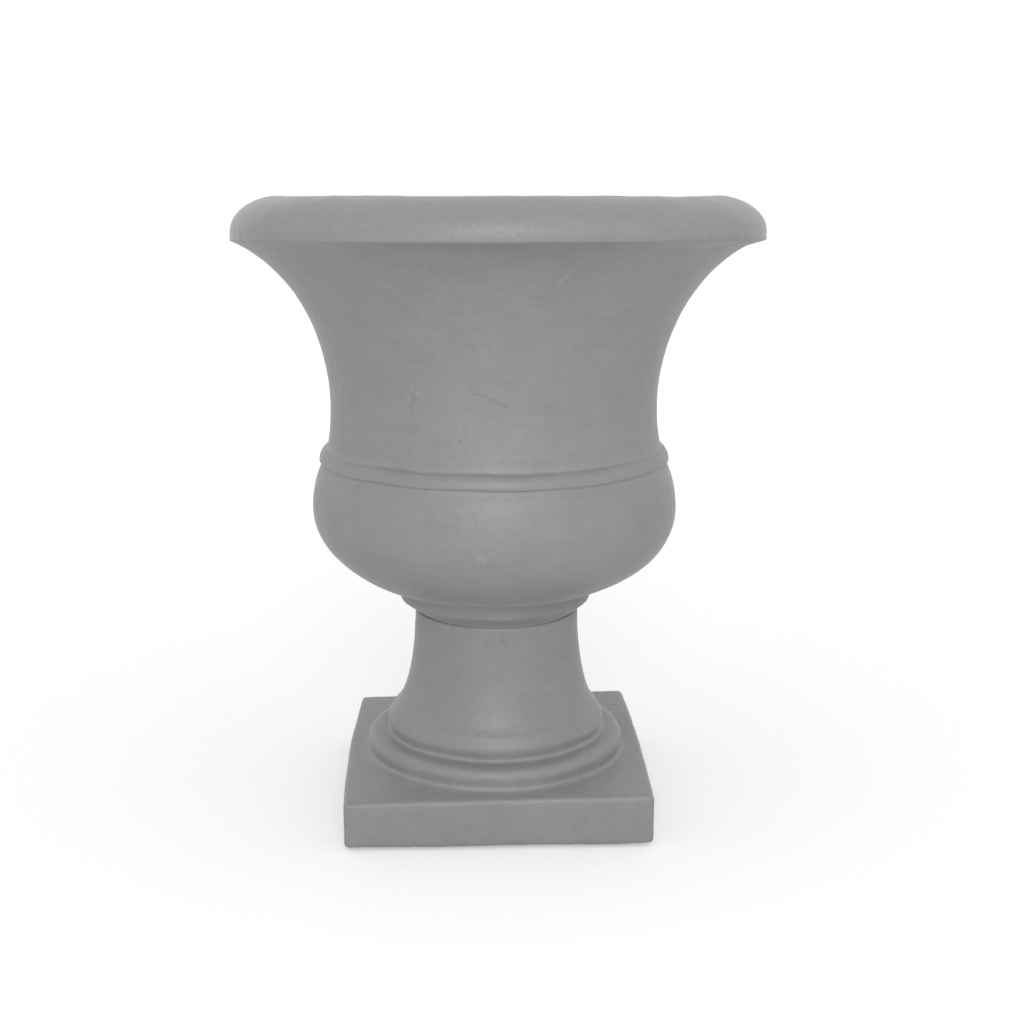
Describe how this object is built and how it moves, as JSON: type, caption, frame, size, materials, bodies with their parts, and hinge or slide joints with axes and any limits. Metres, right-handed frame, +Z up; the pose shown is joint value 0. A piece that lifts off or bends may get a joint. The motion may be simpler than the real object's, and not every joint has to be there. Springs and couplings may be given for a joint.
{
  "type": "urn planter",
  "caption": "Cast stone urn planter: flared bowl with rolled lip and bead on a moulded round pedestal with square plinth, hollow throughout, bowl lifts off.",
  "frame": {"origin": "on the ground under the middle of the square plinth", "axes": "+Z up along the urn's axis, the plinth's sides along X and Y, front towards -Y"},
  "size_m": [0.4069, 0.407, 0.4844],
  "materials": {
    "cast_stone": "matte, fine cast grain with small pits",
    "rubber": "matte",
    "steel": "brushed"
  },
  "bodies": {
    "pedestal": {"pedestal": "cast_stone", "neck_gasket": "rubber", "dowel_left": "steel", "dowel_right": "steel", "foot_pad_front_left": "rubber", "foot_pad_front_right": "rubber", "foot_pad_back_left": "rubber", "foot_pad_back_right": "rubber"},
    "bowl": {"bowl": "cast_stone"},
    "drain_plug": {"drain_plug": "rubber"}
  },
  "joints": [
    {"name": "bowl_lift", "type": "slide", "parent": "pedestal", "child": "bowl", "axis": [0, 0, 1], "range_m": [0, 0.12]},
    {"name": "drain_plug_pull", "type": "slide", "parent": "pedestal", "child": "drain_plug", "axis": [0, 0, 1], "range_m": [0, 0.045]}
  ]
}
